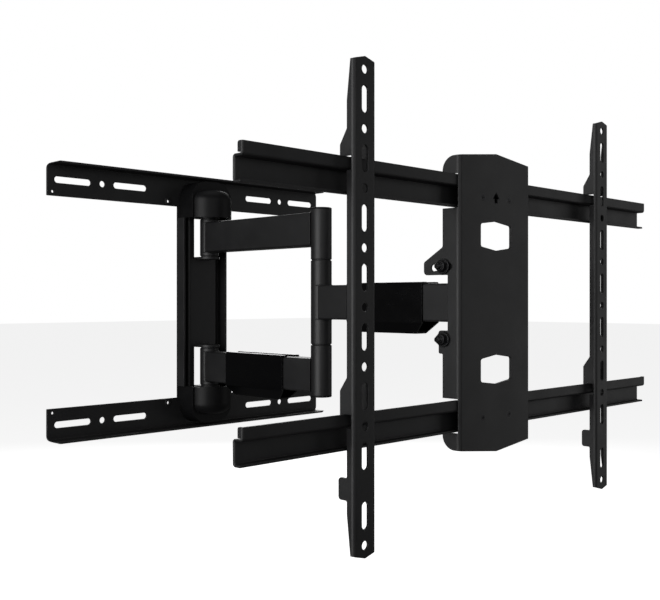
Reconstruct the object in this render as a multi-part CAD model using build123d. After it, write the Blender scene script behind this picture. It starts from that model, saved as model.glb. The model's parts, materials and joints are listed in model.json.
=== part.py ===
"""Full motion wall mount for a flat screen: a real assembly of sheet metal, tubes, pins and plastic covers.

Millimetres. X runs to the right along the wall, Y runs into the wall and Z is up. The origin is on the wall
face, at the centre of the wall bolt pattern, so everything in the room has a negative Y. The mount is drawn at
full reach.
"""

import math
import os

from build123d import *

# Wall bracket: two slotted rails, the channel between them and the carrier of the first hinge.
WALL_RAIL_LENGTH = 451.0
WALL_RAIL_INNER = 129.0
WALL_RAIL_OUTER = 169.5
WALL_RAIL_DEPTH = 22.0
WALL_RAIL_CORNER = 8.0
WALL_SHEET = 2.5
WALL_HOLE_X = 150.0
WALL_HOLE_Z = 149.0
WALL_HOLE_R = 4.0
WALL_SLOT_LENGTH = 50.0
WALL_SLOT_INNER_X = 109.0
WALL_SLOT_OUTER_X = 191.0
PILOT_HOLES = ((50.4, 134.8, 2.2), (218.2, 134.2, 1.8))
DIMPLE_R = 5.4
DIMPLE_HEIGHT = 0.8
CHANNEL_HALF = 36.3
CHANNEL_FRONT = -18.5
CARRIER_HALF = 24.0
CARRIER_FRONT = -12.0
CARRIER_TOP = 118.0
WINDOW_LOW = 61.0
WINDOW_HIGH = 113.0
WINDOW_HALF = 14.5
LUG_THICKNESS = 3.0
LUG_RADIUS = 14.0

# Plastic caps over the first hinge.
CAP_HALF = 32.6
CAP_TOP = 162.4
CAP_FRONT = -33.0
CAP_CORNER = 24.0
CAP_NOSE_RADIUS = 30.0
CAP_NOSE_TOP = 150.5
CAP_WALL = 2.5

# Hinge lines, as distances from the wall.
WALL_PIVOT_Y = -26.5
ELBOW_Y = -243.8
SWIVEL_Y = -458.5
TILT_Y = -474.5
TILT_Z = 35.3

# Arms: square-cut steel tube between round knuckles.
ARM_WIDTH = 25.0
ARM_HEIGHT = 40.0
ARM_WALL = 2.0
ARM_Z = 87.0
KNUCKLE_R = 12.5
TUBE_GAP = 7.0
WALL_PIN_R = 5.0
ELBOW_PIN_R = 6.0
BUSHING_R = 8.0
ELBOW_BUSHING_R = 9.0
RUNNING_CLEARANCE = 0.06
BUSHING_FLANGE = 1.3
END_PLAY = 0.2
ELBOW_HALF = 112.6
ELBOW_SPLIT = 50.3
ELBOW_CAP = 2.0

# Clip-on cable covers under an arm.
COVER_WALL = 2.0
COVER_LENGTH = 110.0
COVER_KEEL = 33.4
COVER_KEEL_HALF = 9.0
COVER_SPANS = {"arm_cable_cover": (-190.2, -ARM_Z), "forearm_cable_cover": (-409.4, 0.0)}

# Swivel and tilt head inside the screen plate.
YOKE_HALF = 57.3
YOKE_FRONT = -482.5
YOKE_SHEET = 3.0
YOKE_TOP = 45.0
YOKE_NOTCH = 27.0
YOKE_BACK = -465.5
HEAD_KNUCKLE_HALF = 21.0
SWIVEL_ACROSS = 17.0
SWIVEL_HEAD = 6.4
SWIVEL_NUT = 8.0
SWIVEL_TIP = 10.0
TILT_STUD_R = 3.0
TILT_STUD_TIP = 3.5
TILT_WASHER_R = 7.5
TILT_WASHER = 2.5
TILT_NUT_ACROSS = 10.0
TILT_NUT = 6.0
TILT_DOWN = 10.0
TILT_UP = 5.0

# Screen plate with its folded side flanges.
PLATE_HALF = 60.25
PLATE_FRONT = -493.5
PLATE_SHEET = 2.5
PLATE_SIDE_TOP = 141.6
PLATE_PEAK = 148.4
PLATE_BACK = -472.9
PLATE_EAR_BACK = -449.7
PLATE_NOTCH_BACK = -479.0
PLATE_LOW_EAR_BACK = -468.1
CUTOUT_HALF = 26.0
CUTOUT_Z = (51.9, 55.3, 77.7, 80.9)
ARROW_STEM_HALF = 2.9
ARROW_HEAD_HALF = 5.8
ARROW_Z = (99.3, 103.5, 110.2)

# Screen rails, hung through slots in the plate flanges.
RAIL_LENGTH = 650.0
RAIL_SHEET = 2.0
RAIL_HEIGHT = 31.0
RAIL_STEP = 21.5
RAIL_BACK = -479.0
RAIL_LIP_BACK = -488.4
RAIL_FOOT_FRONT = -487.4
RAIL_TAB_BACK = -484.7
RAIL_BOTTOMS = {"upper": 92.2, "lower": -124.1}
RAIL_SCREW_X = 22.4
RAIL_SCREW_RISE = 11.0
SCREW_R = 2.0

# Screen brackets that hook over both rails.
BRACKET_X = 200.0
BRACKET_HALF = 13.7
BRACKET_FRONT = -500.2
BRACKET_SHEET = 2.0
BRACKET_BACK = -492.0
BRACKET_HOOK_BACK = -484.0
BRACKET_TAB_BACK = -482.2
BRACKET_Z = -3.4
BRACKET_SIDE_TOP = 207.3
BRACKET_PEAK = 211.0
BRACKET_HOLE_R = 3.9
BRACKET_SLOT = 23.2
BRACKET_HOLE_Z = (-200.0, -100.0, -50.0, 0.0, 50.0, 100.0, 150.0, 200.0)
BRACKET_SLOT_Z = (-175.0, -125.0, -75.0, -25.0, 25.0, 75.0, 125.0, 175.0)


def outline(points, radii=0.0):
    """A closed face through corner points, with one radius for all corners or one for each."""
    return make_face(FilletPolyline(*points, radius=radii, close=True))


def prism(face, axis, low, high):
    """A face drawn across an axis and extruded along it from low to high."""
    if axis == "x":
        return extrude(Plane.YZ.offset(low) * face, amount=high - low)
    if axis == "y":
        return extrude(Plane.XZ.offset(-high) * face, amount=high - low)
    return extrude(Plane.XY.offset(low) * face, amount=high - low)


def rod(axis, centre, radius, low, high):
    """A round bar along an axis, through a centre given in the plane across it."""
    return prism(Pos(*centre) * Circle(radius), axis, low, high)


def block(x_span, y_span, z_span):
    """A box from its low and high sides."""
    spans = (x_span, y_span, z_span)
    middle = [(low + high) / 2 for low, high in spans]
    size = [high - low for low, high in spans]
    return Pos(*middle) * Box(*size)


def shifted_path(points, distance):
    """The path moved to its left by a distance, with mitred corners."""
    normals = []
    for start, end in zip(points, points[1:]):
        along = (end - start).normalized()
        normals.append(Vector(-along.Y, along.X))
    shifts = [normals[0]]
    for before, after in zip(normals, normals[1:]):
        shifts.append((before + after) * (1 / (1 + before.dot(after))))
    shifts.append(normals[-1])
    return [point + shift * distance for point, shift in zip(points, shifts)]


def sheet_section(path, thickness, bend):
    """Section of a folded sheet. The path is one face of the sheet, and the metal lies to its left."""
    points = [Vector(*point) for point in path]
    others = shifted_path(points, thickness)
    radii = []
    other_radii = []
    for before, corner, after in zip(points, points[1:], points[2:]):
        turns_left = (corner - before).cross(after - corner).Z > 0
        radii.append(bend + thickness if turns_left else bend)
        other_radii.append(bend if turns_left else bend + thickness)
    near = FilletPolyline(*points, radius=radii)
    far = FilletPolyline(*others, radius=other_radii)
    ends = [Line(points[0], others[0]), Line(points[-1], others[-1])]
    return make_face(near.edges() + far.edges() + ends)


def gable(half, side, peak):
    """An outline with upright sides whose top and bottom edges rise to a shallow peak in the middle."""
    return outline([(-half, -side), (0, -peak), (half, -side), (half, side), (0, peak), (-half, side)])


def hexagon(axis, centre, across_flats, low, high):
    """A hexagonal bolt head or nut along an axis."""
    face = Pos(*centre) * RegularPolygon(across_flats / 2, 6, major_radius=False)
    return prism(face, axis, low, high)


def both_sides(shape):
    """The shape and its mirror image across the middle plane X = 0."""
    return [shape, mirror(shape, about=Plane.YZ)]


def wall_rail():
    """Upper wall rail: a slotted web on the wall and a flange folded forward along its outer edge."""
    half = WALL_RAIL_LENGTH / 2
    path = [(0, WALL_RAIL_INNER), (0, WALL_RAIL_OUTER), (-WALL_RAIL_DEPTH, WALL_RAIL_OUTER)]
    rail = prism(sheet_section(path, WALL_SHEET, 1.5), "x", -half, half)
    corners = [
        (-half, WALL_RAIL_INNER),
        (half, WALL_RAIL_INNER),
        (half, WALL_RAIL_OUTER),
        (-half, WALL_RAIL_OUTER),
    ]
    trim = outline(corners, [1.0, 1.0, WALL_RAIL_CORNER, WALL_RAIL_CORNER])
    rail &= prism(trim, "y", -WALL_RAIL_DEPTH, 0)
    holes = []
    for side in (-1, 1):
        holes.append(Pos(side * WALL_HOLE_X, WALL_HOLE_Z) * Circle(WALL_HOLE_R))
        for slot_x in (WALL_SLOT_INNER_X, WALL_SLOT_OUTER_X):
            slot = SlotOverall(WALL_SLOT_LENGTH, 2 * WALL_HOLE_R)
            holes.append(Pos(side * slot_x, WALL_HOLE_Z) * slot)
        for pilot_x, pilot_z, pilot_r in PILOT_HOLES:
            holes.append(Pos(side * pilot_x, pilot_z) * Circle(pilot_r))
        dimple_x, dimple_z, _ = PILOT_HOLES[0]
        place = Pos(side * dimple_x, -WALL_SHEET - DIMPLE_HEIGHT / 2, dimple_z)
        rail += place * Rot(90, 0, 0) * Cone(DIMPLE_R, DIMPLE_R - 1.5, DIMPLE_HEIGHT)
    for hole in holes:
        rail -= prism(hole, "y", -WALL_RAIL_DEPTH, 0)
    return rail


def wall_channel():
    """Upright channel welded between the rails, open to the room, with a window at each hinge."""
    path = [
        (CHANNEL_HALF, CHANNEL_FRONT),
        (CHANNEL_HALF, 0),
        (-CHANNEL_HALF, 0),
        (-CHANNEL_HALF, CHANNEL_FRONT),
    ]
    channel = prism(sheet_section(path, WALL_SHEET, 0.6), "z", -WALL_RAIL_INNER, WALL_RAIL_INNER)
    margin = 5.0
    for side in (-1, 1):
        z_span = sorted((side * (WINDOW_LOW - margin), side * (WINDOW_HIGH + margin)))
        channel -= block((-WINDOW_HALF - margin, WINDOW_HALF + margin), (CHANNEL_FRONT, 0), z_span)
        z_span = sorted((side * WINDOW_HIGH, side * WALL_RAIL_INNER))
        channel -= block((-CHANNEL_HALF, CHANNEL_HALF), (CHANNEL_FRONT, -WALL_SHEET), z_span)
    return channel


def hinge_carrier():
    """Raised strip welded in the channel. Its windows clear the knuckles of the first hinge."""
    back = -WALL_SHEET
    path = [
        (-CARRIER_HALF, back),
        (-CARRIER_HALF, CARRIER_FRONT),
        (CARRIER_HALF, CARRIER_FRONT),
        (CARRIER_HALF, back),
    ]
    carrier = prism(sheet_section(path, WALL_SHEET, 1.0), "z", -CARRIER_TOP, CARRIER_TOP)
    for side in (-1, 1):
        z_span = sorted((side * WINDOW_LOW, side * WINDOW_HIGH))
        carrier -= block((-WINDOW_HALF, WINDOW_HALF), (CARRIER_FRONT, back), z_span)
    return carrier


def hinge_lugs():
    """The four lugs that hold the wall pivot pins."""
    middle = (CARRIER_FRONT + WALL_PIVOT_Y) / 2
    tongue = Pos(0, middle) * Rectangle(2 * LUG_RADIUS, CARRIER_FRONT - WALL_PIVOT_Y)
    face = tongue + Pos(0, WALL_PIVOT_Y) * Circle(LUG_RADIUS) - Pos(0, WALL_PIVOT_Y) * Circle(WALL_PIN_R)
    lows = (WINDOW_LOW - LUG_THICKNESS, WINDOW_HIGH, -WINDOW_LOW, -WINDOW_HIGH - LUG_THICKNESS)
    return [prism(face, "z", low, low + LUG_THICKNESS) for low in lows]


def wall_pivot_pins():
    """One pin for each wall hinge, flush with the inner lug, with a low head under the cap."""
    centre = (0, WALL_PIVOT_Y)
    outer = WINDOW_HIGH + LUG_THICKNESS
    pin = rod("z", centre, WALL_PIN_R, WINDOW_LOW - LUG_THICKNESS, outer)
    pin += rod("z", centre, 1.6 * WALL_PIN_R, outer, outer + 3.5)
    return [pin, mirror(pin, about=Plane.XY)]


def cap_shell(inset):
    """Outer shape of the hinge cap, or its hollow when inset by the wall thickness."""
    half = CAP_HALF - inset
    top = CAP_TOP - inset
    bottom = WINDOW_HIGH
    corners = [(-half, bottom), (half, bottom), (half, top), (-half, top)]
    arch = outline(corners, [0.0, 0.0, CAP_CORNER - inset, CAP_CORNER - inset])
    back = -WALL_SHEET
    shell = prism(arch, "y", CAP_FRONT + inset, back)
    nose_top = CAP_NOSE_TOP - inset
    nose = rod("z", (0, WALL_PIVOT_Y), CAP_NOSE_RADIUS - inset, bottom, nose_top)
    crown = nose.faces().sort_by(Axis.Z)[-1].edges()
    nose = fillet(crown, 15.0 - inset)
    nose &= block((-half, half), (WALL_PIVOT_Y - CAP_NOSE_RADIUS, back), (bottom, nose_top))
    return shell + nose


def hinge_cap():
    """Plastic cap that hides the upper pin head."""
    return cap_shell(0.0) - cap_shell(CAP_WALL)


def arm_tube(near_y, far_y, z):
    """Rectangular tube between two knuckles, coped to fit against them."""
    section = RectangleRounded(ARM_WIDTH, ARM_HEIGHT, 2.5)
    section -= RectangleRounded(ARM_WIDTH - 2 * ARM_WALL, ARM_HEIGHT - 2 * ARM_WALL, 0.8)
    tube = prism(Pos(0, z) * section, "y", far_y + TUBE_GAP, near_y - TUBE_GAP)
    for knuckle_y in (near_y, far_y):
        tube -= rod("z", (0, knuckle_y), KNUCKLE_R, z - ARM_HEIGHT, z + ARM_HEIGHT)
    return tube


def knuckle(y, bore, low, high):
    """Round hinge knuckle with a slightly broken outer edge at both ends."""
    body = rod("z", (0, y), KNUCKLE_R, low, high)
    rims = body.edges().filter_by(GeomType.CIRCLE)
    return chamfer(rims, 0.4) - rod("z", (0, y), bore, low, high)


def bushing(y, pin_radius, sleeve_radius, seat, direction):
    """Flanged nylon bushing pressed into a knuckle end. The seat is the height of that end."""
    centre = (0, y)
    flange = sorted((seat, seat + direction * BUSHING_FLANGE))
    sleeve = sorted((seat, seat - direction * 10.0))
    body = rod("z", centre, KNUCKLE_R - 1.2, *flange) + rod("z", centre, sleeve_radius, *sleeve)
    reach = sorted((seat - direction * 10.0, seat + direction * BUSHING_FLANGE))
    return body - rod("z", centre, pin_radius + RUNNING_CLEARANCE, *reach)


def elbow_pin():
    """Long pin through all three elbow knuckles."""
    end = ELBOW_HALF - ELBOW_CAP - 2.5
    return rod("z", (0, ELBOW_Y), ELBOW_PIN_R, -end, end)


def elbow_cap():
    """Plastic end cap pressed into the top of the elbow."""
    seat = ELBOW_HALF - ELBOW_CAP
    disc = rod("z", (0, ELBOW_Y), KNUCKLE_R, seat, ELBOW_HALF)
    disc = fillet(disc.faces().sort_by(Axis.Z)[-1].edges(), 1.2)
    return disc + rod("z", (0, ELBOW_Y), ELBOW_PIN_R, seat - 2.3, seat)


def cable_cover(far_y, z):
    """Clip-on cover: two walls beside the tube, short lips over it and a keel for cables below it."""
    half = ARM_WIDTH / 2
    top = ARM_HEIGHT / 2
    outer_half = half + COVER_WALL
    lip = 6.0
    keel_floor = COVER_KEEL - COVER_WALL
    shoulder = top + 1.5
    outer = [
        (lip, top),
        (lip, top + COVER_WALL),
        (outer_half, top + COVER_WALL),
        (outer_half, -shoulder),
        (COVER_KEEL_HALF, -COVER_KEEL),
    ]
    inner = [
        (COVER_KEEL_HALF - 1.4, -keel_floor),
        (half, -shoulder + 0.6),
        (half, top),
    ]
    right = outer + [(0, -COVER_KEEL), (0, -keel_floor)] + inner
    radii = [0.0, 0.5, 2.5, 1.5, 1.0, 0.0, 0.0, 0.5, 0.5, 0.5]
    profile = outline(right, radii)
    profile += mirror(profile, about=Plane.YZ)
    near_y = far_y + COVER_LENGTH
    cover = prism(Pos(0, z) * profile, "y", far_y, near_y)
    run = 14.0
    low = z - COVER_KEEL - 1
    high = z - top - 1.5
    for end, inward in ((far_y, 1), (near_y, -1)):
        wedge = outline([(end, high), (end, low), (end + inward * run, low)])
        cover -= prism(wedge, "x", -outer_half, outer_half)
    return cover


def head_yoke():
    """Folded yoke behind the screen plate: a flat front and four ears that carry the tilt studs."""
    path = [
        (YOKE_HALF, YOKE_BACK),
        (YOKE_HALF, YOKE_FRONT),
        (-YOKE_HALF, YOKE_FRONT),
        (-YOKE_HALF, YOKE_BACK),
    ]
    face = sheet_section(path[::-1], YOKE_SHEET, 1.0)
    yoke = prism(face, "z", -YOKE_TOP, YOKE_TOP)
    notch_y = YOKE_FRONT + YOKE_SHEET + 1.0
    corners = [
        (YOKE_FRONT, YOKE_TOP, 0.0),
        (YOKE_FRONT, -YOKE_TOP, 0.0),
        (YOKE_BACK, -YOKE_TOP, 6.0),
        (YOKE_BACK, -YOKE_NOTCH, 3.0),
        (notch_y, -YOKE_NOTCH, 1.0),
        (notch_y, YOKE_NOTCH, 1.0),
        (YOKE_BACK, YOKE_NOTCH, 3.0),
        (YOKE_BACK, YOKE_TOP, 6.0),
    ]
    side = outline([(y, z) for y, z, _ in corners], [radius for _, _, radius in corners])
    yoke &= prism(side, "x", -YOKE_HALF, YOKE_HALF)
    for stud_z in (-TILT_Z, TILT_Z):
        yoke -= rod("x", (TILT_Y, stud_z), TILT_STUD_R, -YOKE_HALF, YOKE_HALF)
    return yoke


def swivel_lugs():
    """Two lugs welded to the yoke, above and below the forearm's head knuckle."""
    root_y = YOKE_FRONT + YOKE_SHEET
    root_half = 42.0
    run = SWIVEL_Y - root_y
    reach = math.hypot(root_half, run)
    tangent = math.atan2(run, root_half) + math.asin(LUG_RADIUS / reach)
    length = math.sqrt(reach**2 - LUG_RADIUS**2)
    touch_x = root_half - length * math.cos(tangent)
    touch_y = root_y + length * math.sin(tangent)
    corners = [(-root_half, root_y), (root_half, root_y), (touch_x, touch_y), (-touch_x, touch_y)]
    face = outline(corners) + Pos(0, SWIVEL_Y) * Circle(LUG_RADIUS)
    face -= Pos(0, SWIVEL_Y) * Circle(WALL_PIN_R)
    seat = HEAD_KNUCKLE_HALF + BUSHING_FLANGE + END_PLAY
    upper = prism(face, "z", seat, seat + LUG_THICKNESS)
    return [upper, mirror(upper, about=Plane.XY)]


def swivel_bolt():
    """Bolt that the head swivels on, held by its head and a nut."""
    centre = (0, SWIVEL_Y)
    seat = HEAD_KNUCKLE_HALF + BUSHING_FLANGE + END_PLAY + LUG_THICKNESS
    shank = rod("z", centre, WALL_PIN_R, -seat - SWIVEL_TIP, seat)
    return shank + hexagon("z", centre, SWIVEL_ACROSS, seat, seat + SWIVEL_HEAD)


def swivel_nut():
    """Lock nut under the lower swivel lug."""
    centre = (0, SWIVEL_Y)
    seat = HEAD_KNUCKLE_HALF + BUSHING_FLANGE + END_PLAY + LUG_THICKNESS
    low = -seat - SWIVEL_NUT
    return hexagon("z", centre, SWIVEL_ACROSS, low, -seat) - rod("z", centre, WALL_PIN_R, low, -seat)


def tilt_hardware(z):
    """Welded stud, washer and nut at one height on the left side."""
    centre = (TILT_Y, z)
    face = -PLATE_HALF - END_PLAY
    washer_face = face - TILT_WASHER
    nut_face = washer_face - TILT_NUT
    stud = rod("x", centre, TILT_STUD_R, nut_face - TILT_STUD_TIP, -YOKE_HALF + YOKE_SHEET)
    washer = rod("x", centre, TILT_WASHER_R, washer_face, face)
    washer -= rod("x", centre, TILT_STUD_R, washer_face, face)
    nut = hexagon("x", centre, TILT_NUT_ACROSS, nut_face, washer_face)
    nut -= rod("x", centre, TILT_STUD_R, nut_face, washer_face)
    return stud, washer, nut


def plate_side_outline():
    """Side view of the screen plate: rounded corners, rail slots and the two pairs of tilt ears."""
    corners = [
        (PLATE_FRONT, PLATE_PEAK, 0.0),
        (PLATE_FRONT, -PLATE_PEAK, 0.0),
        (-489.0, -PLATE_PEAK, 0.0),
        (-489.0, -PLATE_SIDE_TOP, 0.0),
        (PLATE_BACK, -PLATE_SIDE_TOP, 14.0),
        (PLATE_BACK, -49.4, 1.0),
        (PLATE_LOW_EAR_BACK, -49.4, 2.0),
        (PLATE_LOW_EAR_BACK, -YOKE_NOTCH, 2.0),
        (PLATE_NOTCH_BACK, -YOKE_NOTCH, 1.0),
        (PLATE_NOTCH_BACK, YOKE_NOTCH, 1.0),
        (PLATE_EAR_BACK, YOKE_NOTCH, 4.0),
        (PLATE_EAR_BACK, 39.6, 3.0),
        (PLATE_BACK, 54.0, 3.0),
        (PLATE_BACK, PLATE_SIDE_TOP, 14.0),
        (-489.0, PLATE_SIDE_TOP, 0.0),
        (-489.0, PLATE_PEAK, 0.0),
    ]
    return outline([(y, z) for y, z, _ in corners], [radius for _, _, radius in corners])


def screen_plate():
    """Front plate with folded flanges, gabled ends, two open cut-outs and an arrow that marks the top."""
    path = [
        (-PLATE_HALF, PLATE_EAR_BACK),
        (-PLATE_HALF, PLATE_FRONT),
        (PLATE_HALF, PLATE_FRONT),
        (PLATE_HALF, PLATE_EAR_BACK),
    ]
    plate = prism(sheet_section(path, PLATE_SHEET, 1.5), "z", -PLATE_PEAK, PLATE_PEAK)
    plate &= prism(gable(PLATE_HALF, PLATE_SIDE_TOP, PLATE_PEAK), "y", PLATE_FRONT, PLATE_EAR_BACK)
    plate &= prism(plate_side_outline(), "x", -PLATE_HALF, PLATE_HALF)
    low_peak, low_side, high_side, high_peak = CUTOUT_Z
    cutout = [
        (0, low_peak),
        (CUTOUT_HALF, low_side),
        (CUTOUT_HALF, high_side),
        (0, high_peak),
        (-CUTOUT_HALF, high_side),
        (-CUTOUT_HALF, low_side),
    ]
    opening = outline(cutout, [6.0, 2.5, 2.5, 6.0, 2.5, 2.5])
    sheet_span = (PLATE_FRONT, PLATE_FRONT + PLATE_SHEET)
    plate -= prism(opening, "y", *sheet_span)
    plate -= prism(mirror(opening, about=Plane.XZ), "y", *sheet_span)
    base, shoulder, tip = ARROW_Z
    right = [(ARROW_STEM_HALF, base), (ARROW_STEM_HALF, shoulder), (ARROW_HEAD_HALF, shoulder)]
    left = [(-x, z) for x, z in reversed(right)]
    arrow = [*right, (0, tip), *left]
    plate -= prism(outline(arrow), "y", *sheet_span)
    slot_clearance = 1.0
    for bottom in RAIL_BOTTOMS.values():
        z_span = (bottom - slot_clearance, bottom + RAIL_HEIGHT + slot_clearance)
        plate -= block((-PLATE_HALF, PLATE_HALF), (PLATE_FRONT + PLATE_SHEET, PLATE_BACK), z_span)
        for screw_x in (-RAIL_SCREW_X, RAIL_SCREW_X):
            plate -= rail_screw(screw_x, bottom + RAIL_SCREW_RISE)
    pivot = (TILT_Y, -TILT_Z)
    plate -= rod("x", pivot, TILT_STUD_R + RUNNING_CLEARANCE, -PLATE_HALF, PLATE_HALF)
    play = 0.6
    start = 90.0 - TILT_DOWN - play
    sweep = TILT_DOWN + TILT_UP + 2 * play
    arc = CenterArc(pivot, 2 * TILT_Z, start, sweep)
    plate -= prism(SlotArc(arc, 2 * TILT_STUD_R + 0.8), "x", -PLATE_HALF, PLATE_HALF)
    return plate


def rail_screw(x, z):
    """Countersunk screw, flush with the screen plate."""
    tip = RAIL_BACK + 4.6
    centre = (x, z)
    shank = rod("y", centre, SCREW_R, PLATE_FRONT + 1.5, tip)
    head = Pos(x, PLATE_FRONT + 0.9, z) * Rot(90, 0, 0) * Cone(SCREW_R, 3.6, 1.8)
    return shank + head


def rail_spacer(x, z):
    """Spacer sleeve between the screen plate and the web of a rail."""
    span = (PLATE_FRONT + PLATE_SHEET, RAIL_BACK - RAIL_SHEET)
    return rod("y", (x, z), 5.0, *span) - rod("y", (x, z), SCREW_R, *span)


def rail_nut(x, z):
    """Nut behind the web of a rail."""
    span = (RAIL_BACK, RAIL_BACK + 3.2)
    return hexagon("y", (x, z), 7.0, *span) - rod("y", (x, z), SCREW_R, *span)


def screen_rail(bottom):
    """Folded rail with a foot, a web and an upright lip whose ends are turned back as stops."""
    half = RAIL_LENGTH / 2
    path = [
        (RAIL_FOOT_FRONT, bottom),
        (RAIL_BACK, bottom),
        (RAIL_BACK, bottom + RAIL_STEP),
        (RAIL_LIP_BACK, bottom + RAIL_STEP),
        (RAIL_LIP_BACK, bottom + RAIL_HEIGHT),
    ]
    rail = prism(sheet_section(path, RAIL_SHEET, 0.8), "x", -half, half)
    low = bottom + RAIL_STEP + 1.0
    high = bottom + RAIL_HEIGHT
    y_span = (RAIL_LIP_BACK - 0.5, RAIL_TAB_BACK)
    tab = [(y_span[0], low), (y_span[1], low), (y_span[1], high), (y_span[0], high)]
    stop = prism(outline(tab, [0.0, 0.5, 2.0, 0.0]), "x", half - RAIL_SHEET, half)
    for piece in both_sides(stop):
        rail += piece
    lip_front = RAIL_LIP_BACK - RAIL_SHEET
    rail = fillet(
        [edge for edge in rail.edges().filter_by(Axis.Z) if is_at(edge, half, lip_front)],
        1.5,
    )
    for screw_x in (-RAIL_SCREW_X, RAIL_SCREW_X):
        rail -= rod("y", (screw_x, bottom + RAIL_SCREW_RISE), SCREW_R, RAIL_BACK - RAIL_SHEET, RAIL_BACK)
    return rail


def is_at(edge, half, y):
    """Whether an upright edge stands at the end of a rail, on a given face."""
    centre = edge.center()
    return abs(abs(centre.X) - half) < 0.01 and abs(centre.Y - y) < 0.01


def hook_outline(lip_top, flare_low, flare_high):
    """Side view of one hook, from its sloping shoulder down to the flange below it."""
    throat_front = BRACKET_FRONT + BRACKET_SHEET + 1.2
    finger_front = RAIL_LIP_BACK + 0.4
    bearing = lip_top + END_PLAY
    finger_bottom = lip_top - (RAIL_HEIGHT - RAIL_STEP) + 2.5
    below_lip = lip_top - (RAIL_HEIGHT - RAIL_STEP) - RAIL_SHEET - 0.6
    return [
        (BRACKET_BACK, flare_high, 2.0),
        (BRACKET_HOOK_BACK, flare_low, 2.0),
        (BRACKET_HOOK_BACK, finger_bottom, 0.8),
        (finger_front, finger_bottom, 0.8),
        (finger_front, bearing, 0.6),
        (throat_front, bearing, 0.8),
        (throat_front, below_lip, 0.8),
        (BRACKET_BACK, below_lip, 1.0),
    ]


def bracket_side_outline():
    """Side view of a screen bracket: tapered ends, two hooks and a pull tab under the lower rail."""
    taper_end = BRACKET_FRONT + 4.2
    taper_z = 173.0
    tops = [RAIL_BOTTOMS[name] + RAIL_HEIGHT for name in ("upper", "lower")]
    corners = [(BRACKET_FRONT, BRACKET_Z - BRACKET_PEAK, 0.0)]
    corners += [(BRACKET_FRONT, BRACKET_Z + BRACKET_PEAK, 0.0), (taper_end, BRACKET_Z + BRACKET_PEAK, 0.0)]
    corners += [(taper_end, BRACKET_Z + BRACKET_SIDE_TOP, 0.0), (BRACKET_BACK, BRACKET_Z + taper_z, 6.0)]
    corners += hook_outline(tops[0], tops[0] + 10.1, tops[0] + 23.0)
    corners += hook_outline(tops[1], tops[1] + 19.6, tops[1] + 30.8)
    corners += [
        (BRACKET_BACK, BRACKET_Z - 143.0, 1.5),
        (BRACKET_TAB_BACK, BRACKET_Z - 143.0, 3.0),
        (BRACKET_TAB_BACK, BRACKET_Z - 161.8, 3.0),
        (BRACKET_BACK, BRACKET_Z - 161.8, 1.5),
        (BRACKET_BACK, BRACKET_Z - taper_z, 6.0),
        (taper_end, BRACKET_Z - BRACKET_SIDE_TOP, 0.0),
        (taper_end, BRACKET_Z - BRACKET_PEAK, 0.0),
    ]
    return outline([(y, z) for y, z, _ in corners], [radius for _, _, radius in corners])


def screen_bracket(x):
    """Upright channel bracket for the back of a screen, with a column of holes and slots."""
    path = [
        (-BRACKET_HALF, BRACKET_TAB_BACK),
        (-BRACKET_HALF, BRACKET_FRONT),
        (BRACKET_HALF, BRACKET_FRONT),
        (BRACKET_HALF, BRACKET_TAB_BACK),
    ]
    low = BRACKET_Z - BRACKET_PEAK
    high = BRACKET_Z + BRACKET_PEAK
    bracket = prism(sheet_section(path, BRACKET_SHEET, 1.2), "z", low, high)
    front = Pos(0, BRACKET_Z) * gable(BRACKET_HALF, BRACKET_SIDE_TOP, BRACKET_PEAK)
    bracket &= prism(front, "y", BRACKET_FRONT, BRACKET_TAB_BACK)
    bracket &= prism(bracket_side_outline(), "x", -BRACKET_HALF, BRACKET_HALF)
    sheet_span = (BRACKET_FRONT, BRACKET_FRONT + BRACKET_SHEET)
    for hole_z in BRACKET_HOLE_Z:
        bracket -= rod("y", (0, BRACKET_Z + hole_z), BRACKET_HOLE_R, *sheet_span)
    for slot_z in BRACKET_SLOT_Z:
        slot = Pos(0, BRACKET_Z + slot_z) * Rot(0, 0, 90) * SlotOverall(BRACKET_SLOT, 2 * BRACKET_HOLE_R)
        bracket -= prism(slot, "y", *sheet_span)
    return Pos(x, 0, 0) * bracket


def wall_bracket_nodes():
    """Everything that stays on the wall."""
    rail = wall_rail()
    cap = hinge_cap()
    return {
        "wall_rail_upper": rail,
        "wall_rail_lower": mirror(rail, about=Plane.XY),
        "wall_channel": wall_channel(),
        "hinge_carrier": hinge_carrier(),
        "hinge_lugs": hinge_lugs(),
        "wall_pivot_pins": wall_pivot_pins(),
        "hinge_cap_upper": cap,
        "hinge_cap_lower": mirror(cap, about=Plane.XY),
    }


def inner_arm_nodes():
    """The pair of arms between the wall and the elbow, joined by the elbow pin."""
    nodes = {}
    low = WINDOW_LOW + BUSHING_FLANGE + END_PLAY
    high = WINDOW_HIGH - BUSHING_FLANGE - END_PLAY
    tube = arm_tube(WALL_PIVOT_Y, ELBOW_Y, ARM_Z)
    wall_knuckle = knuckle(WALL_PIVOT_Y, BUSHING_R, low, high)
    elbow_low = ELBOW_SPLIT + BUSHING_FLANGE / 2 + END_PLAY / 2
    elbow_knuckle = knuckle(ELBOW_Y, ELBOW_PIN_R, elbow_low, ELBOW_HALF - ELBOW_CAP)
    cap = elbow_cap()
    for name, shape in (
        ("arm_tube", tube),
        ("wall_knuckle", wall_knuckle),
        ("elbow_knuckle", elbow_knuckle),
        ("elbow_cap", cap),
    ):
        nodes[f"{name}_upper"] = shape
        nodes[f"{name}_lower"] = mirror(shape, about=Plane.XY)
    pair = [
        bushing(WALL_PIVOT_Y, WALL_PIN_R, BUSHING_R, low, -1),
        bushing(WALL_PIVOT_Y, WALL_PIN_R, BUSHING_R, high, 1),
    ]
    nodes["wall_bushings"] = pair + [mirror(piece, about=Plane.XY) for piece in pair]
    nodes["elbow_pin"] = elbow_pin()
    return nodes


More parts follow.
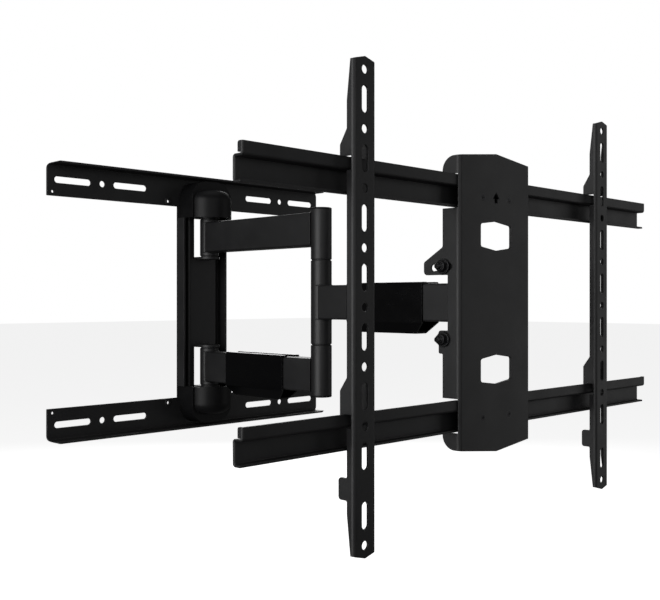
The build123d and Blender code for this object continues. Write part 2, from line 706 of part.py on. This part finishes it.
def forearm_nodes():
    """The single arm between the elbow and the swivel head."""
    half = ELBOW_SPLIT - BUSHING_FLANGE / 2 - END_PLAY / 2
    elbow_pair = [bushing(ELBOW_Y, ELBOW_PIN_R, ELBOW_BUSHING_R, side * half, side) for side in (-1, 1)]
    head_pair = [bushing(SWIVEL_Y, WALL_PIN_R, BUSHING_R, side * HEAD_KNUCKLE_HALF, side) for side in (-1, 1)]
    return {
        "forearm_tube": arm_tube(ELBOW_Y, SWIVEL_Y, 0.0),
        "elbow_knuckle_middle": knuckle(ELBOW_Y, ELBOW_BUSHING_R, -half, half),
        "head_knuckle": knuckle(SWIVEL_Y, BUSHING_R, -HEAD_KNUCKLE_HALF, HEAD_KNUCKLE_HALF),
        "elbow_bushings": elbow_pair,
        "head_bushings": head_pair,
    }


def head_nodes():
    """The swivel head, with the hardware that the screen plate tilts on."""
    studs = {}
    washers = []
    nuts = []
    for name, z in (("tilt_pivot_studs", -TILT_Z), ("tilt_lock_studs", TILT_Z)):
        stud, washer, nut = tilt_hardware(z)
        studs[name] = both_sides(stud)
        washers += both_sides(washer)
        nuts += both_sides(nut)
    return {
        "head_yoke": head_yoke(),
        "swivel_lugs": swivel_lugs(),
        "swivel_bolt": swivel_bolt(),
        "swivel_nut": swivel_nut(),
        **studs,
        "tilt_washers": washers,
        "tilt_nuts": nuts,
    }


def screen_frame_nodes():
    """The screen plate, its two rails and the screws that hold them."""
    heights = [bottom + RAIL_SCREW_RISE for bottom in RAIL_BOTTOMS.values()]
    places = [(x, z) for z in heights for x in (-RAIL_SCREW_X, RAIL_SCREW_X)]
    return {
        "screen_plate": screen_plate(),
        "screen_rail_upper": screen_rail(RAIL_BOTTOMS["upper"]),
        "screen_rail_lower": screen_rail(RAIL_BOTTOMS["lower"]),
        "rail_screws": [rail_screw(*place) for place in places],
        "rail_spacers": [rail_spacer(*place) for place in places],
        "rail_nuts": [rail_nut(*place) for place in places],
    }


def main():
    """Build every node and write one STEP file for each."""
    nodes = {
        **wall_bracket_nodes(),
        **inner_arm_nodes(),
        **forearm_nodes(),
        **head_nodes(),
        **screen_frame_nodes(),
        "screen_bracket_left": screen_bracket(-BRACKET_X),
        "screen_bracket_right": screen_bracket(BRACKET_X),
    }
    for name, (far_y, z) in COVER_SPANS.items():
        nodes[name] = cable_cover(far_y, z)
    os.makedirs("parts", exist_ok=True)
    for name, shape in nodes.items():
        solids = shape if isinstance(shape, list) else [shape]
        export_step(Compound(children=solids) if len(solids) > 1 else shape, f"parts/{name}.step")


main()
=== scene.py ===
"""Looks of the full motion wall mount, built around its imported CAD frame.

Everything is placed in metres, in that frame. The small pieces are drawn in millimetres and scaled by MM.
"""

import json
import math

import bmesh
import bpy
from mathutils import Matrix, Vector


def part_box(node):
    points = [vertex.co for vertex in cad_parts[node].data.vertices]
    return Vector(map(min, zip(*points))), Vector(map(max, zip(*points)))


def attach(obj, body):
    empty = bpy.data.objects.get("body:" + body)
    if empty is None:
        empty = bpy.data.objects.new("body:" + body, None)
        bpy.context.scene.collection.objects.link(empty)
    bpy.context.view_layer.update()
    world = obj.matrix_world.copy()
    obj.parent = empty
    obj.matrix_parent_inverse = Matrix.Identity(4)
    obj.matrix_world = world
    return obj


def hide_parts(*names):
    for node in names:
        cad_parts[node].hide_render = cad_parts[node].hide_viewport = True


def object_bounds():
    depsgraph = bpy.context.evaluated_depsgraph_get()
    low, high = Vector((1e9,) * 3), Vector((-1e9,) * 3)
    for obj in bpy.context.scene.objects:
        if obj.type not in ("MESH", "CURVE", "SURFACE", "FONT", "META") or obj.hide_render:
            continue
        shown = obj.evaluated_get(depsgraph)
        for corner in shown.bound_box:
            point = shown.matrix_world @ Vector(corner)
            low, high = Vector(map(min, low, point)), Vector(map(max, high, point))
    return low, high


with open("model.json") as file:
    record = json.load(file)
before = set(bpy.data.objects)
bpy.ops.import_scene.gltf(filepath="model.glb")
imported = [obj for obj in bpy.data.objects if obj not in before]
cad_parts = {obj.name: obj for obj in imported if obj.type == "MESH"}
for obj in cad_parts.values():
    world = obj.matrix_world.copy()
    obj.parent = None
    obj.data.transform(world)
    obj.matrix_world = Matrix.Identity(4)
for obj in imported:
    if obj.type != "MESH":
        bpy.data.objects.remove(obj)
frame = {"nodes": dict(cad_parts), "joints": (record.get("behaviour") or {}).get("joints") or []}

CAD_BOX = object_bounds()
MM = 0.001

# The camera is level, ahead of the mount and to its left, and looks along the diagonal.
CAMERA_PLACE = (-0.765, -1.0235, 0.0027)
CAMERA_HEADING = math.radians(-45)
CAMERA_LENS = 50.0
FLOOR_DROP = 0.35

# Sizes that the boxes of the CAD nodes don't give, in millimetres.
YOKE_SHEET = 3.0
LUG_SHEET = 3.0
PIN_WINDOW_LOW = 61.0
HINGE_LUG_WELD = 12
SWIVEL_LUG_WELD = 38
KNUCKLE_WELD_R = 12.6
TUBE_BEAD_R = 0.9
LUG_BEAD_R = 1.0

# Points in one ring of each kind of piece, and the arc of a weld round a knuckle, in steps and degrees.
HEX_POINTS = 72
SCREW_POINTS = 64
STUD_POINTS = 32
BEAD_POINTS = 10
WELD_STEPS = 36
WELD_HALF_ANGLE = 78

# Fasteners, in millimetres.
TILT_GAP = 0.2
TILT_PITCH = 1.0
TILT_WASHER_R = 7.5
TILT_NUT_ACROSS = 10.0
SWIVEL_ACROSS = 17.0
SWIVEL_R = 5.0
SWIVEL_PITCH = 1.5
RAIL_SCREW_R = 2.0
RAIL_SCREW_HEAD_R = 3.6
RAIL_SCREW_HEAD = 1.8
RAIL_SCREW_PITCH = 0.7
RAIL_NUT_ACROSS = 7.0
RECESS_DEPTH = 1.1
RECESS_REACH = 2.1
RECESS_HALF = 0.45

PAINTED = [
    "wall_rail_upper",
    "wall_rail_lower",
    "wall_channel",
    "hinge_carrier",
    "hinge_lugs",
    "arm_tube_upper",
    "arm_tube_lower",
    "wall_knuckle_upper",
    "wall_knuckle_lower",
    "elbow_knuckle_upper",
    "elbow_knuckle_lower",
    "forearm_tube",
    "elbow_knuckle_middle",
    "head_knuckle",
    "head_yoke",
    "swivel_lugs",
    "screen_plate",
    "screen_rail_upper",
    "screen_rail_lower",
    "screen_bracket_left",
    "screen_bracket_right",
]
CAPS = ["hinge_cap_upper", "hinge_cap_lower", "elbow_cap_upper", "elbow_cap_lower"]
COVERS = ["arm_cable_cover", "forearm_cable_cover"]
NYLON = ["wall_bushings", "elbow_bushings", "head_bushings"]
HARDWARE = ["wall_pivot_pins", "elbow_pin", "rail_spacers"]


class Nodes:
    """A short way to add and join the nodes of one material."""

    def __init__(self, name):
        self.material = bpy.data.materials.new(name)
        self.material.use_nodes = True
        self.tree = self.material.node_tree
        self.shader = self.tree.nodes["Principled BSDF"]
        self.place = self.add("ShaderNodeTexCoord").outputs["Object"]

    def add(self, kind, **settings):
        node = self.tree.nodes.new(kind)
        for key, value in settings.items():
            setattr(node, key, value)
        return node

    def join(self, source, target):
        self.tree.links.new(source, target)

    def noise(self, scale, detail=2.0, roughness=0.5, stretch=None):
        """Noise with features about 1 / scale metres wide, stretched along an axis if asked."""
        node = self.add("ShaderNodeTexNoise")
        node.inputs["Scale"].default_value = scale
        node.inputs["Detail"].default_value = detail
        node.inputs["Roughness"].default_value = roughness
        place = self.place
        if stretch:
            mapping = self.add("ShaderNodeMapping")
            mapping.inputs["Scale"].default_value = stretch
            self.join(self.place, mapping.inputs["Vector"])
            place = mapping.outputs["Vector"]
        self.join(place, node.inputs["Vector"])
        return node.outputs["Fac"]

    def spread(self, value, low, high, start=0.3, end=0.7):
        """The value, taken from start..end to low..high."""
        node = self.add("ShaderNodeMapRange")
        node.inputs["From Min"].default_value = start
        node.inputs["From Max"].default_value = end
        node.inputs["To Min"].default_value = low
        node.inputs["To Max"].default_value = high
        self.join(value, node.inputs["Value"])
        return node.outputs["Result"]

    def math(self, operation, first, second):
        node = self.add("ShaderNodeMath", operation=operation)
        for socket, value in zip(node.inputs, (first, second)):
            if isinstance(value, float):
                socket.default_value = value
            else:
                self.join(value, socket)
        return node.outputs["Value"]

    def blend(self, fac, first, second):
        """A mix of two colours."""
        node = self.add("ShaderNodeMix", data_type="RGBA")
        self.join(fac, node.inputs["Factor"])
        for name, value in (("A", first), ("B", second)):
            socket = [s for s in node.inputs if s.name == name and s.type == "RGBA"][0]
            if isinstance(value, tuple):
                socket.default_value = (*value, 1.0)
            else:
                self.join(value, socket)
        return [s for s in node.outputs if s.type == "RGBA"][0]

    def edges(self, radius):
        """1 on the edges of a piece and 0 on its flats, with the normal that rounds those edges."""
        rounded = self.add("ShaderNodeBevel", samples=6)
        rounded.inputs["Radius"].default_value = radius
        flat = self.add("ShaderNodeNewGeometry").outputs["Normal"]
        dot = self.add("ShaderNodeVectorMath", operation="DOT_PRODUCT")
        self.join(rounded.outputs["Normal"], dot.inputs[0])
        self.join(flat, dot.inputs[1])
        return self.spread(dot.outputs["Value"], 1.0, 0.0, 0.8, 0.99), rounded.outputs["Normal"]

    def bump(self, height, strength, distance, normal=None):
        node = self.add("ShaderNodeBump")
        node.inputs["Strength"].default_value = strength
        node.inputs["Distance"].default_value = distance
        self.join(height, node.inputs["Height"])
        if normal is not None:
            self.join(normal, node.inputs["Normal"])
        return node.outputs["Normal"]

    def finish(self, colour, roughness, normal):
        self.join(colour, self.shader.inputs["Base Color"])
        self.join(roughness, self.shader.inputs["Roughness"])
        self.join(normal, self.shader.inputs["Normal"])
        return self.material


def powder_coat():
    """Satin black powder coat: fine orange peel, faint cloudiness, and paint drawn thin on the edges."""
    n = Nodes("powder_coat_black")
    edge, rounded = n.edges(0.6 * MM)
    cloud = n.noise(35.0, 4.0)
    grain = n.noise(5200.0, 2.0)
    colour = n.blend(n.spread(cloud, 0.0, 1.0), (0.0072, 0.0072, 0.0076), (0.0105, 0.0105, 0.011))
    colour = n.blend(n.spread(grain, 0.0, 0.6, 0.5, 0.8), colour, (0.022, 0.022, 0.023))
    worn = n.math("MULTIPLY", edge, n.spread(n.noise(420.0, 5.0, 0.7), 0.25, 1.0, 0.35, 0.65))
    colour = n.blend(worn, colour, (0.05, 0.05, 0.052))
    roughness = n.math("ADD", n.spread(cloud, 0.40, 0.48), n.spread(grain, -0.03, 0.05))
    peel = n.math("ADD", n.noise(950.0, 2.0), n.math("MULTIPLY", n.noise(3600.0, 1.0), 0.35))
    normal = n.bump(peel, 0.22, 0.12 * MM, rounded)
    n.shader.inputs["Specular IOR Level"].default_value = 0.34
    return n.finish(colour, roughness, normal)


def cap_plastic():
    """Satin black plastic of the hinge caps, with a fine spark-eroded grain."""
    n = Nodes("cap_plastic_black")
    edge, rounded = n.edges(0.5 * MM)
    cloud = n.noise(60.0, 3.0)
    grain = n.noise(2600.0, 2.0)
    colour = n.blend(n.spread(cloud, 0.0, 1.0), (0.003, 0.003, 0.0033), (0.005, 0.005, 0.0054))
    colour = n.blend(n.math("MULTIPLY", edge, 0.4), colour, (0.03, 0.03, 0.031))
    roughness = n.math("ADD", n.spread(cloud, 0.38, 0.44), n.spread(grain, -0.03, 0.04))
    normal = n.bump(grain, 0.2, 0.06 * MM, rounded)
    n.shader.inputs["Specular IOR Level"].default_value = 0.15
    return n.finish(colour, roughness, normal)


def cover_plastic():
    """Deep black, smooth plastic of the cable covers, with slow waves in its skin and a few fine scuffs."""
    n = Nodes("cover_plastic_black")
    edge, rounded = n.edges(0.4 * MM)
    scuffs = n.spread(n.noise(300.0, 6.0, 0.75, (1.0, 0.18, 1.0)), 0.0, 1.0, 0.6, 0.78)
    colour = n.blend(scuffs, (0.0012, 0.0012, 0.0014), (0.0035, 0.0035, 0.0038))
    colour = n.blend(n.math("MULTIPLY", edge, 0.35), colour, (0.02, 0.02, 0.021))
    roughness = n.math("ADD", n.spread(n.noise(60.0, 3.0), 0.22, 0.28), n.math("MULTIPLY", scuffs, 0.1))
    skin = n.math("ADD", n.noise(120.0, 2.0), n.math("MULTIPLY", n.noise(2600.0, 1.0), 0.12))
    normal = n.bump(skin, 0.1, 0.15 * MM, rounded)
    n.shader.inputs["Specular IOR Level"].default_value = 0.16
    return n.finish(colour, roughness, normal)


def nylon():
    """Matt dark nylon of the flanged bushings."""
    n = Nodes("nylon_dark")
    edge, rounded = n.edges(0.3 * MM)
    mottle = n.noise(700.0, 3.0)
    colour = n.blend(n.spread(mottle, 0.0, 1.0), (0.006, 0.006, 0.0065), (0.012, 0.012, 0.013))
    colour = n.blend(n.math("MULTIPLY", edge, 0.4), colour, (0.04, 0.04, 0.042))
    normal = n.bump(mottle, 0.15, 0.08 * MM, rounded)
    n.shader.inputs["Specular IOR Level"].default_value = 0.3
    return n.finish(colour, n.spread(mottle, 0.5, 0.62), normal)


def black_zinc():
    """Black zinc plate over turned steel: dark metal with fine turning marks and lighter edges."""
    n = Nodes("black_zinc_steel")
    edge, rounded = n.edges(0.25 * MM)
    blotch = n.noise(260.0, 5.0, 0.6)
    turning = n.noise(6000.0, 2.0, 0.5, (1.0, 0.12, 0.12))
    colour = n.blend(n.spread(blotch, 0.0, 1.0), (0.012, 0.012, 0.013), (0.028, 0.028, 0.029))
    colour = n.blend(n.math("MULTIPLY", edge, 0.8), colour, (0.11, 0.11, 0.115))
    roughness = n.math("ADD", n.spread(blotch, 0.28, 0.42), n.spread(turning, -0.04, 0.06))
    normal = n.bump(turning, 0.12, 0.05 * MM, rounded)
    n.shader.inputs["Metallic"].default_value = 0.8
    return n.finish(colour, roughness, normal)


def dress(names, material):
    """Gives CAD nodes a better material."""
    for name in names:
        slots = frame["nodes"][name].material_slots
        for entry in slots:
            entry.material = material


def join_rings(mesh, rows, closed=False):
    """Joins each ring of points to the next one and, if closed, the last to the first. Returns the rings."""
    rings = [[mesh.verts.new(Vector(point) * MM) for point in row] for row in rows]
    following_rings = rings[1:] + (rings[:1] if closed else [])
    for ring_points, following in zip(rings, following_rings):
        for i in range(len(ring_points)):
            after = (i + 1) % len(ring_points)
            mesh.faces.new((ring_points[i], ring_points[after], following[after], following[i]))
    return rings


def make_piece(name, rows, body, material, place, direction, replaced=()):
    """A piece made of rings of points along its own Z, in millimetres, closed with a face at both ends."""
    mesh = bmesh.new()
    rings = join_rings(mesh, rows)
    mesh.faces.new(rings[0][::-1])
    mesh.faces.new(rings[-1])
    bmesh.ops.recalc_face_normals(mesh, faces=mesh.faces)
    return wrap_piece(name, mesh, body, material, place, direction, replaced)


def make_ring_piece(name, rows, body, material, place, direction, replaced=()):
    """As make_piece, but the last ring is joined to the first, as in a nut or a washer."""
    mesh = bmesh.new()
    join_rings(mesh, rows, closed=True)
    bmesh.ops.recalc_face_normals(mesh, faces=mesh.faces)
    return wrap_piece(name, mesh, body, material, place, direction, replaced)


def wrap_piece(name, mesh, body, material, place, direction, replaced):
    """Turns a bmesh into a piece at a place, pointing along a direction, that rides on a body."""
    data = bpy.data.meshes.new(name)
    mesh.to_mesh(data)
    mesh.free()
    if direction:
        turn = Vector(direction).to_track_quat("Z", "Y").to_matrix().to_4x4()
        data.transform(Matrix.Translation(place) @ turn)
    data.materials.append(material)
    data.shade_smooth()
    piece = bpy.data.objects.new(name, data)
    bpy.context.scene.collection.objects.link(piece)
    sharp = piece.modifiers.new("sharp_edges", "EDGE_SPLIT")
    sharp.split_angle = math.radians(38)
    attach(piece, body)
    if replaced:
        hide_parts(*replaced)
    return piece


def ring(radius_at, height, count):
    """A ring of points at a height, with a radius that may depend on the angle."""
    turns = [2 * math.pi * i / count for i in range(count)]
    return [(radius_at(t) * math.cos(t), radius_at(t) * math.sin(t), height) for t in turns]


def round_ring(radius, height, count=48):
    return ring(lambda turn: radius, height, count)


def hex_radius(turn, across):
    """Distance from the middle of a hexagon to its side, at an angle."""
    sixth = math.pi / 3
    return across / 2 / math.cos((turn + sixth / 2) % sixth - sixth / 2)


def hex_rows(across, height, count=HEX_POINTS):
    """Rings of a hexagon with both ends turned down to a cone, as on a real nut or bolt head."""
    depth = 0.11 * across
    rows = []
    for rise in (0.0, 0.2, 0.4, 0.6, 0.8, 1.0):
        limit = across / 2 * (0.94 + 0.24 * rise)
        rows.append(ring(lambda t, c=limit: min(c, hex_radius(t, across)), rise * depth * 0.8, count))
    top = [[(x, y, height - z) for x, y, z in row] for row in rows[::-1]]
    return rows + top


def thread_rows(radius, start, end, pitch, count=STUD_POINTS):
    """Rings of a screw thread with pointed crests, tapered at its free end."""
    depth = 0.55 * pitch
    steps = int((end - start) / pitch * 6)
    rows = []
    for i in range(steps + 1):
        height = start + (end - start) * i / steps
        taper = min(1.0, (end - height) / (1.2 * pitch))

        def radius_at(turn, height=height, taper=taper):
            phase = (height / pitch - turn / (2 * math.pi)) % 1.0
            return radius - depth * abs(2 * phase - 1) - depth * (1 - taper)

        rows.append(ring(radius_at, height, count))
    return rows


def lock_nut_rows(across, height, bore):
    """Rings of a lock nut, out along the bottom, up the hexagon, over the crown and back down the bore."""
    body = height * 0.72
    outside = hex_rows(across, body)
    crown = across * 0.43
    profile = [
        (crown, body),
        (crown, height - 0.9),
        (crown - 0.35, height - 0.3),
        (crown - 0.9, height),
        (bore + 0.5, height - 0.15),
        (bore + 0.05, height - 0.7),
        (bore + 0.05, 0.5),
        (bore + 0.5, 0.0),
    ]
    return outside + [round_ring(radius, level, HEX_POINTS) for radius, level in profile]


def washer_rows(outer, bore, height):
    """Rings of a washer with rolled edges."""
    soft = 0.35
    bottom = [round_ring(bore, soft), round_ring(bore + soft, 0.0), round_ring(outer - soft, 0.0)]
    side = [round_ring(outer - 0.1, 0.1), round_ring(outer, soft), round_ring(outer, height - soft)]
    top = [round_ring(outer - soft, height), round_ring(bore + soft, height), round_ring(bore, height - soft)]
    return bottom + side + top


def tilt_hardware(zinc):
    """Threaded tilt studs with their thick washers and lock nuts, on both sides of the head."""
    washers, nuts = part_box("tilt_washers"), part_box("tilt_nuts")
    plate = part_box("screen_plate")
    inside = (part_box("head_yoke")[1].x - YOKE_SHEET * MM) / MM
    for node, words in (("tilt_pivot_studs", "pivot"), ("tilt_lock_studs", "lock")):
        low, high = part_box(node)
        centre = (low + high) / 2
        radius = (high.z - low.z) / 2 / MM
        for side, name in ((-1, "left"), (1, "right")):
            place = (0.0, centre.y, centre.z)
            along = (side, 0.0, 0.0)
            tip = high.x / MM
            face = plate[1].x / MM + TILT_GAP
            seat = washers[1].x / MM
            shank = [round_ring(radius, inside, STUD_POINTS), round_ring(radius, face, STUD_POINTS)]
            rows = shank + thread_rows(radius, face, tip, TILT_PITCH)
            stud = f"tilt_{words}_stud_{name}"
            make_piece(stud, rows, "swivel_head", zinc, place, along, [node])
            place = (side * face * MM, centre.y, centre.z)
            rows = washer_rows(TILT_WASHER_R, radius, seat - face)
            washer = f"tilt_{words}_washer_{name}"
            make_ring_piece(washer, rows, "swivel_head", zinc, place, along, ["tilt_washers"])
            place = (side * seat * MM, centre.y, centre.z)
            rows = lock_nut_rows(TILT_NUT_ACROSS, nuts[1].x / MM - seat, radius)
            nut = f"tilt_{words}_nut_{name}"
            make_ring_piece(nut, rows, "swivel_head", zinc, place, along, ["tilt_nuts"])


def swivel_hardware(zinc):
    """The swivel bolt, with a chamfered head and a threaded end, and its lock nut."""
    low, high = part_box("swivel_bolt")
    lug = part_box("swivel_lugs")[1].z / MM
    x, y = (low.x + high.x) / 2, (low.y + high.y) / 2
    top, tip = high.z / MM, low.z / MM
    middle = (x, y, 0.0)
    head = [[(px, py, pz + lug) for px, py, pz in row] for row in hex_rows(SWIVEL_ACROSS, top - lug)]
    shank = [round_ring(SWIVEL_R, level, HEX_POINTS) for level in (-lug + 1.0, lug)]
    up, down = (0, 0, 1), (0, 0, -1)
    rows = shank + head
    make_piece("swivel_bolt_head", rows, "swivel_head", zinc, middle, up, ["swivel_bolt"])
    rows = thread_rows(SWIVEL_R, lug - 1.0, -tip, SWIVEL_PITCH)
    make_piece("swivel_bolt_thread", rows, "swivel_head", zinc, middle, down)
    nut_low, nut_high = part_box("swivel_nut")
    rows = lock_nut_rows(SWIVEL_ACROSS, (nut_high.z - nut_low.z) / MM, SWIVEL_R)
    place = (x, y, nut_high.z)
    make_ring_piece("swivel_lock_nut", rows, "swivel_head", zinc, place, down, ["swivel_nut"])


def screw_head_depth(x, y):
    """Depth of a cross recess at a point on a screw head."""
    along = min(max(abs(x), abs(y)) / RECESS_REACH, 1.0)
    across = min(min(abs(x), abs(y)) / RECESS_HALF, 1.0)
    return RECESS_DEPTH * (1.0 - along**4) * (1.0 - across**6)


def rail_hardware(zinc):
    """Countersunk screws with a cross recess, and plain nuts behind the webs of the rails."""
    low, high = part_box("rail_screws")
    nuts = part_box("rail_nuts")
    length = (high.y - low.y) / MM
    height = (nuts[1].y - nuts[0].y) / MM
    steps = 18
    bore = [
        (RAIL_SCREW_R + 0.4, height),
        (RAIL_SCREW_R, height - 0.4),
        (RAIL_SCREW_R, 0.4),
        (RAIL_SCREW_R + 0.4, 0.0),
    ]
    margin = RAIL_SCREW_HEAD_R * MM
    for row_name, z in (("upper", high.z - margin), ("lower", low.z + margin)):
        for side, name in ((-1, "left"), (1, "right")):
            x = side * (high.x - margin)
            rows = []
            for i in range(1, steps + 1):
                flat = round_ring(RAIL_SCREW_HEAD_R * i / steps, 0.0, SCREW_POINTS)
                rows.append([(px, py, screw_head_depth(px, py)) for px, py, _ in flat])
            rows.append(round_ring(RAIL_SCREW_R, RAIL_SCREW_HEAD, SCREW_POINTS))
            neck = RAIL_SCREW_HEAD + 0.1
            rows += thread_rows(RAIL_SCREW_R, neck, length, RAIL_SCREW_PITCH, SCREW_POINTS)
            screw = f"rail_screw_{row_name}_{name}"
            place = (x, low.y, z)
            make_piece(screw, rows, "screen_frame", zinc, place, (0, 1, 0), ["rail_screws"])
            rows = hex_rows(RAIL_NUT_ACROSS, height)
            rows += [round_ring(radius, level, HEX_POINTS) for radius, level in bore]
            nut = f"rail_nut_{row_name}_{name}"
            place = (x, nuts[0].y, z)
            make_ring_piece(nut, rows, "screen_frame", zinc, place, (0, 1, 0), ["rail_nuts"])


def weld_bead(name, path, radius, body, coat):
    """A rippled weld bead along a path of points in metres."""
    mesh = bmesh.new()
    previous = None
    for i, point in enumerate(path):
        ahead = path[min(i + 1, len(path) - 1)] - path[max(i - 1, 0)]
        turn = ahead.to_track_quat("Z", "Y").to_matrix()
        ends = min(1.0, 0.3 + 0.35 * min(i, len(path) - 1 - i))
        size = radius * MM * ends * (1.0 + 0.14 * math.sin(i * 1.9) + 0.05 * math.sin(i * 0.7))
        row = []
        for k in range(BEAD_POINTS):
            angle = 2 * math.pi * k / BEAD_POINTS
            row.append(mesh.verts.new(point + turn @ Vector((math.cos(angle), math.sin(angle), 0.0)) * size))
        if previous:
            for k in range(BEAD_POINTS):
                after = (k + 1) % BEAD_POINTS
                mesh.faces.new((previous[k], previous[after], row[after], row[k]))
        else:
            mesh.faces.new(row[::-1])
        previous = row
    mesh.faces.new(previous)
    bmesh.ops.recalc_face_normals(mesh, faces=mesh.faces)
    return wrap_piece(name, mesh, body, coat, None, None, ())


def arm_welds(coat):
    """Beads where the tubes meet their knuckles, over and under each tube."""
    places = {joint["name"]: joint["pos_m"][1] for joint in frame["joints"] if joint["type"] == "hinge"}
    near, elbow, far = places["wall_pivot"], places["elbow"], places["head_swivel"]
    arms = (
        ("arm_tube_upper", "inner_arm", near, elbow),
        ("arm_tube_lower", "inner_arm", near, elbow),
        ("forearm_tube", "forearm", elbow, far),
    )
    reach = KNUCKLE_WELD_R * MM
    for node, body, first, second in arms:
        low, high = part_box(node)
        for end, y, inward in (("near", first, -1), ("far", second, 1)):
            for level, z in (("over", high.z), ("under", low.z)):
                path = []
                for i in range(WELD_STEPS + 1):
                    angle = math.radians(WELD_HALF_ANGLE * (2 * i / WELD_STEPS - 1))
                    path.append(Vector((reach * math.sin(angle), y + inward * reach * math.cos(angle), z)))
                weld_bead(f"weld_{node}_{end}_{level}", path, TUBE_BEAD_R, body, coat)


def lug_welds(coat):
    """Beads along the roots of the hinge lugs and of the swivel lugs."""
    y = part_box("hinge_carrier")[0].y
    for side, name in ((-1, "lower"), (1, "upper")):
        z = side * (PIN_WINDOW_LOW - LUG_SHEET) * MM
        path = [Vector((x * MM, y, z)) for x in range(-HINGE_LUG_WELD, HINGE_LUG_WELD + 1)]
        weld_bead(f"weld_hinge_lug_{name}", path, LUG_BEAD_R, "wall_bracket", coat)
    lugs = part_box("swivel_lugs")
    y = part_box("head_yoke")[0].y + YOKE_SHEET * MM
    for side, name in ((-1, "lower"), (1, "upper")):
        for face, z in (("outer", lugs[1].z), ("inner", lugs[1].z - LUG_SHEET * MM)):
            path = [Vector((x * MM, y, side * z)) for x in range(-SWIVEL_LUG_WELD, SWIVEL_LUG_WELD + 1)]
            weld_bead(f"weld_swivel_lug_{name}_{face}", path, LUG_BEAD_R, "swivel_head", coat)


def floor_paint():
    """Pale floor that glows a little, to meet the white backdrop, and is clear when seen from below."""
    paint = bpy.data.materials.new("floor_pale")
    paint.use_nodes = True
    tree = paint.node_tree
    shader = tree.nodes["Principled BSDF"]
    shader.inputs["Base Color"].default_value = (0.8, 0.8, 0.8, 1.0)
    shader.inputs["Roughness"].default_value = 1.0
    shader.inputs["Specular IOR Level"].default_value = 0.0
    shader.inputs["Emission Color"].default_value = (1.0, 1.0, 1.0, 1.0)
    shader.inputs["Emission Strength"].default_value = 0.82
    clear = tree.nodes.new("ShaderNodeBsdfTransparent").outputs["BSDF"]
    side = tree.nodes.new("ShaderNodeNewGeometry").outputs["Backfacing"]
    choose = tree.nodes.new("ShaderNodeMixShader")
    tree.links.new(side, choose.inputs["Fac"])
    tree.links.new(shader.outputs["BSDF"], choose.inputs[1])
    tree.links.new(clear, choose.inputs[2])
    tree.links.new(choose.outputs["Shader"], tree.nodes["Material Output"].inputs["Surface"])
    return paint


def studio():
    """Plain pale floor and soft lights: a large box on the left, and dimmer ones ahead, above and behind."""
    low, high = CAD_BOX
    bpy.ops.mesh.primitive_plane_add(size=40.0, location=(0.0, 0.0, low.z - FLOOR_DROP))
    floor = bpy.context.object
    floor.name = "floor"
    floor.data.materials.append(floor_paint())
    floor.visible_diffuse = False
    floor.visible_glossy = False
    middle = (low + high) / 2
    lamps = [
        ("left_box", (-1.9, -0.35, 0.2), 1.5, 1.8, 35.0),
        ("right_box", (1.55, -1.35, 0.15), 0.9, 1.6, 2.3),
        ("front_box", (-0.3, -2.4, 0.5), 1.4, 1.4, 6.0),
        ("camera_side_box", (-1.5, -1.95, 0.35), 1.4, 1.2, 5.0),
        ("top_box", (0.0, -0.3, 1.9), 1.8, 1.4, 4.0),
        ("back_box", (1.5, 1.4, 0.7), 1.4, 1.4, 16.0),
    ]
    for name, place, width, height, power in lamps:
        data = bpy.data.lights.new(name, "AREA")
        data.shape = "RECTANGLE"
        data.size = width
        data.size_y = height
        data.energy = power
        lamp = bpy.data.objects.new(name, data)
        bpy.context.scene.collection.objects.link(lamp)
        lamp.location = place
        lamp.rotation_euler = (middle - Vector(place)).to_track_quat("-Z", "Y").to_euler()
    world = bpy.data.worlds.new("studio")
    bpy.context.scene.world = world
    world.use_nodes = True
    tree = world.node_tree
    backdrop = tree.nodes["Background"]
    backdrop.inputs["Color"].default_value = (1.0, 1.0, 1.0, 1.0)
    backdrop.inputs["Strength"].default_value = 1.0
    dim = tree.nodes.new("ShaderNodeBackground")
    dim.inputs["Color"].default_value = (1.0, 1.0, 1.0, 1.0)
    dim.inputs["Strength"].default_value = 0.08
    choose = tree.nodes.new("ShaderNodeMixShader")
    seen = tree.nodes.new("ShaderNodeLightPath").outputs["Is Camera Ray"]
    tree.links.new(seen, choose.inputs["Fac"])
    tree.links.new(dim.outputs["Background"], choose.inputs[1])
    tree.links.new(backdrop.outputs["Background"], choose.inputs[2])
    tree.links.new(choose.outputs["Shader"], tree.nodes["World Output"].inputs["Surface"])


def camera():
    """A level 50 mm camera at the photographed angle."""
    data = bpy.data.cameras.new("camera")
    data.lens = CAMERA_LENS
    data.sensor_width = 36.0
    data.clip_end = 60.0
    seat = bpy.data.objects.new("camera", data)
    bpy.context.scene.collection.objects.link(seat)
    seat.location = CAMERA_PLACE
    seat.rotation_euler = (math.radians(90), 0.0, CAMERA_HEADING)
    bpy.context.scene.camera = seat


camera()
studio()
coat = powder_coat()
zinc = black_zinc()
dress(PAINTED, coat)
dress(CAPS, cap_plastic())
dress(COVERS, cover_plastic())
dress(NYLON, nylon())
dress(HARDWARE, zinc)
tilt_hardware(zinc)
swivel_hardware(zinc)
rail_hardware(zinc)
arm_welds(coat)
lug_welds(coat)
bpy.context.scene.view_settings.view_transform = "Standard"
